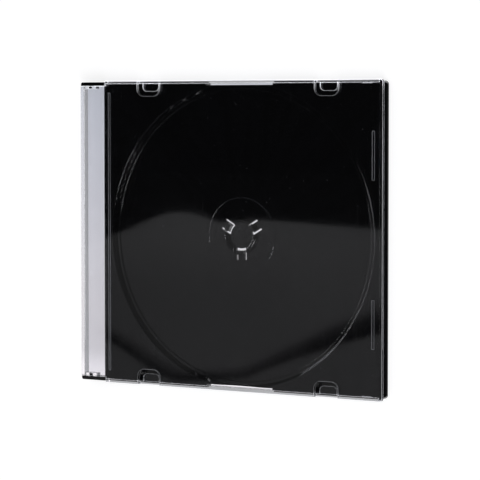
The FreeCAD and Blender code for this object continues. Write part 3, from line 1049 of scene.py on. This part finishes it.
def card(name, corners, strength, transmission=True):
    """Flat cards, four corners each, seen only in gloss and, where asked, through clear plastic."""
    faces = [tuple(range(first, first + 4)) for first in range(0, len(corners), 4)]
    made = add_mesh(name, corners, faces)
    keep_to_gloss(made)
    made.visible_transmission = transmission
    material, tree = new_material(name)
    out = tree.nodes.new("ShaderNodeOutputMaterial")
    light = add_node(tree, "ShaderNodeEmission", {"Strength": strength})
    link(tree, light.outputs[0], out.inputs["Surface"])
    made.data.materials.append(material)
    return made


def level_corners(rectangles, height):
    """Corners of level rectangles, each given by its low and its high corner."""
    corners = []
    for x0, y0, x1, y1 in rectangles:
        corners += [(x0, y0, height), (x1, y0, height), (x1, y1, height), (x0, y1, height)]
    return corners


def edge_cards(studio):
    """Two soft boxes, and on the floor round the case dark strips of painted shade seen in gloss, and wall
    shades.
    """
    front = card("front_box", FRONT_BOX, studio.front_card)
    left = card("left_box", LEFT_BOX, studio.left_card)
    low, high = CAD_BOX
    gap, wide = STRIP_GAP, STRIP_WIDTH
    inner = (low.x - gap, low.y - gap, high.x + gap, high.y + gap)
    outer = (low.x - wide, low.y - wide, high.x + wide, high.y + wide)
    height = -0.5 * studio.floor_drop
    strip_places = (
        (inner[2], outer[1], outer[2], outer[3]),
        (outer[0], outer[1], inner[0], outer[3]),
        (inner[0], outer[1], inner[2], inner[1]),
        (inner[0], inner[3], inner[2], outer[3]),
    )
    corners = level_corners(strip_places, height)
    # Painted shade: dark cards beside the case, hidden from the eye, that its walls mirror in gloss.
    strips = card("painted_shade_strips", corners, studio.ceiling_level, transmission=False)
    side_out, side_in = SIDE_SHADE
    hinge_out, hinge_in = HINGE_SHADE
    shade_places = (
        (SHADE_START, low.y - side_out, high.x, low.y + side_in),
        (SHADE_START, high.y - side_in, high.x, high.y + side_out),
        (low.x - hinge_out, low.y, low.x + hinge_in, high.y),
    )
    shade = card("wall_shade", level_corners(shade_places, height), studio.wall_shade)
    shade.visible_glossy = False
    return front, left, strips, shade


def floor_sheet(studio):
    """A wide pale floor that shows white to the eye and keeps the case's shadow."""
    half = studio.floor_size / 2
    drop = -studio.floor_drop
    floor = add_mesh("floor", level_corners([(-half, -half, half, half)], drop), [(0, 1, 2, 3)])
    material, tree = new_material("pale_floor")
    out = tree.nodes.new("ShaderNodeOutputMaterial")
    matt = add_node(tree, "ShaderNodeBsdfDiffuse", {"Color": opaque(studio.floor_colour)})
    light = tree.nodes.new("ShaderNodeEmission")
    rays = tree.nodes.new("ShaderNodeLightPath")
    place = tree.nodes.new("ShaderNodeTexCoord")
    parts = tree.nodes.new("ShaderNodeSeparateXYZ")
    link(tree, place.outputs["Object"], parts.inputs[0])
    # The light on the floor grows from the case's upper end to its lower one, as glass shows it.
    up = parts.outputs["Y"]
    through = map_range(tree, up, *FLOOR_SPAN, studio.floor_fall, FLOOR_FULL)
    through = plus(tree, through, map_range(tree, up, *LOW_END_SPAN, 0.0, LOW_END_RISE, smooth=True))
    seen = math_node(tree, "MAXIMUM", rays.outputs["Is Camera Ray"], rays.outputs["Is Glossy Ray"])
    in_glass = rays.outputs["Is Transmission Ray"]
    level = blend_values(tree, "FLOAT", in_glass, seen, through)
    link(tree, times(tree, level, studio.floor_lift), light.inputs["Strength"])
    along = map_range(tree, up, *TINT_SPAN, 0.0, 1.0)
    tint = blend_values(tree, "RGBA", along, opaque(studio.upper_tint), opaque(studio.lower_tint))
    tint = blend_values(tree, "RGBA", in_glass, opaque((1.0, 1.0, 1.0)), tint)
    link(tree, tint, light.inputs["Color"])
    both = tree.nodes.new("ShaderNodeAddShader")
    link(tree, matt.outputs[0], both.inputs[0])
    link(tree, light.outputs[0], both.inputs[1])
    link(tree, both.outputs[0], out.inputs["Surface"])
    lay_out(tree)
    floor.data.materials.append(material)
    return floor


def sky(studio):
    """White to the eye, even light on matt things, and a dark ceiling over a white band for gloss."""
    world = bpy.data.worlds.new("studio")
    bpy.context.scene.world = world
    world.use_nodes = True
    tree = world.node_tree
    tree.nodes.clear()
    out = tree.nodes.new("ShaderNodeOutputWorld")
    light = tree.nodes.new("ShaderNodeBackground")
    rays = tree.nodes.new("ShaderNodeLightPath")
    place = tree.nodes.new("ShaderNodeTexCoord")
    parts = tree.nodes.new("ShaderNodeSeparateXYZ")
    link(tree, place.outputs["Generated"], parts.inputs[0])
    glass = map_range(tree, parts.outputs["Z"], -0.02, 0.00, 1.0, studio.ceiling_level, smooth=True)
    gloss = map_range(
        tree, parts.outputs["Z"], 0.00, studio.horizon_band, 1.0, studio.ceiling_level, smooth=True
    )
    strength = studio.sky_level
    for kind, level in (
        ("Is Glossy Ray", gloss),
        ("Is Transmission Ray", glass),
        ("Is Camera Ray", 1.0),
    ):
        strength = blend_values(tree, "FLOAT", rays.outputs[kind], strength, level)
    link(tree, strength, light.inputs["Strength"])
    link(tree, light.outputs[0], out.inputs["Surface"])
    lay_out(tree)


def soft_lamp(name, place, target, side, power):
    """A square lamp that faces a point."""
    data = bpy.data.lights.new(name, "AREA")
    data.shape = "SQUARE"
    data.size = side
    data.energy = power
    lamp = bpy.data.objects.new(name, data)
    bpy.context.scene.collection.objects.link(lamp)
    lamp.location = place
    lamp.rotation_mode = "QUATERNION"
    lamp.rotation_quaternion = (Vector(target) - Vector(place)).to_track_quat("-Z", "Y")


# Operators


class CASE_OT_black_base(Operator):
    """Gives the black tray moulding its polished faces and its textured back"""

    bl_idname = "case.black_base"
    bl_label = "Black tray moulding"

    def execute(self, context):
        finish = context.scene.case_finish
        dress(BASE, black_plastic(finish))
        return {"FINISHED"}


class CASE_OT_clear_lid(Operator):
    """Gives the lid its clear finish and the painted highlight and glow along its edges"""

    bl_idname = "case.clear_lid"
    bl_label = "Clear lid moulding"

    def execute(self, context):
        finish = context.scene.case_finish
        dress(LID, clear_plastic(finish))
        return {"FINISHED"}


class CASE_OT_studio(Operator):
    """Sets up the floor, the light and the board that the lid mirrors"""

    bl_idname = "case.studio"
    bl_label = "Studio"

    def execute(self, context):
        studio = context.scene.case_studio
        sky(studio)
        floor = floor_sheet(studio)
        board = grey_board(studio, context.scene.case_view)
        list(edge_cards(studio))
        soft_lamp("soft_lamp", LAMP_PLACE, (0.0, 0.0, 0.0), LAMP_SIDE, studio.lamp_power)
        return {"FINISHED"}


class CASE_OT_camera(Operator):
    """Places the camera over the opening edge, looking down on the lid"""

    bl_idname = "case.camera"
    bl_label = "Camera"

    def execute(self, context):
        view = context.scene.case_view
        data = bpy.data.cameras.new("camera")
        data.sensor_width = 36.0
        data.lens = view.lens
        data.clip_start = 0.01
        data.clip_end = 100.0
        camera = bpy.data.objects.new("camera", data)
        context.scene.collection.objects.link(camera)
        place, right, up, forward = camera_frame(view)
        turn = Matrix((right, up, -forward)).transposed().to_4x4()
        camera.matrix_world = Matrix.Translation(place) @ turn
        context.scene.camera = camera
        return {"FINISHED"}


class CASE_PT_panel(Panel):
    """Lists the steps and settings of the case"""

    bl_idname = "CASE_PT_panel"
    bl_label = "Slim disc case"
    bl_space_type = "VIEW_3D"
    bl_region_type = "UI"
    bl_category = "Case"

    def draw(self, context):
        column = self.layout.column()
        for step in STEPS:
            column.operator(step.bl_idname)
        for group in ("case_finish", "case_studio", "case_view"):
            settings = getattr(context.scene, group)
            box = self.layout.box()
            for name in settings.bl_rna.properties.keys():
                if name not in ("rna_type", "name"):
                    box.prop(settings, name)


STEPS = (CASE_OT_camera, CASE_OT_studio, CASE_OT_black_base, CASE_OT_clear_lid)
CLASSES = (CaseFinish, CaseStudio, CaseView, *STEPS, CASE_PT_panel)


def register():
    for made in CLASSES:
        bpy.utils.register_class(made)
    bpy.types.Scene.case_finish = PointerProperty(type=CaseFinish)
    bpy.types.Scene.case_studio = PointerProperty(type=CaseStudio)
    bpy.types.Scene.case_view = PointerProperty(type=CaseView)


def unregister():
    del bpy.types.Scene.case_view
    del bpy.types.Scene.case_studio
    del bpy.types.Scene.case_finish
    for made in reversed(CLASSES):
        bpy.utils.unregister_class(made)


def main():
    register()
    bpy.context.scene.view_settings.view_transform = "Standard"
    bpy.ops.case.camera()
    bpy.ops.case.studio()
    bpy.ops.case.black_base()
    bpy.ops.case.clear_lid()


if __name__ == "__main__":
    main()
